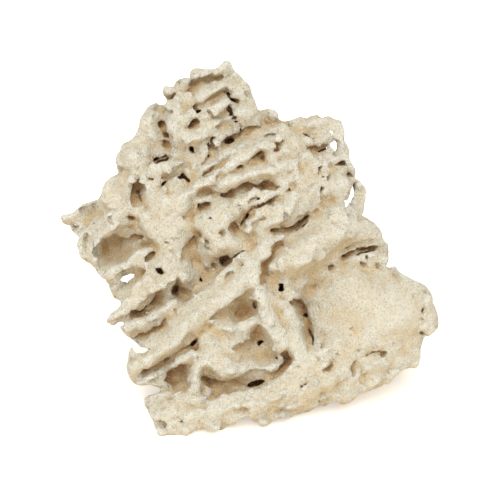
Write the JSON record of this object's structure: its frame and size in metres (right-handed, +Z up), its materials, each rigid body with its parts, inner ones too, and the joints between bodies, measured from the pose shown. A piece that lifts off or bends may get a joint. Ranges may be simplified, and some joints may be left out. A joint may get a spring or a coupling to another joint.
{
  "type": "dry reef rock",
  "caption": "Dry reef rock: a standing chunk of porous cream limestone, ridged and pitted along its bedding, on a flat broken underside",
  "frame": {"origin": "on the flat underside, below the middle of the front face", "axes": "+X to the viewer's right along the front, +Y away from the viewer, +Z up from the underside"},
  "size_m": [0.2501, 0.1888, 0.2093],
  "materials": {
    "reef_rock": "dry chalky limestone, cream with ochre in the hollows and grey specks on the broad faces"
  },
  "bodies": {
    "root": {"reef_rock": "reef_rock"}
  },
  "joints": []
}
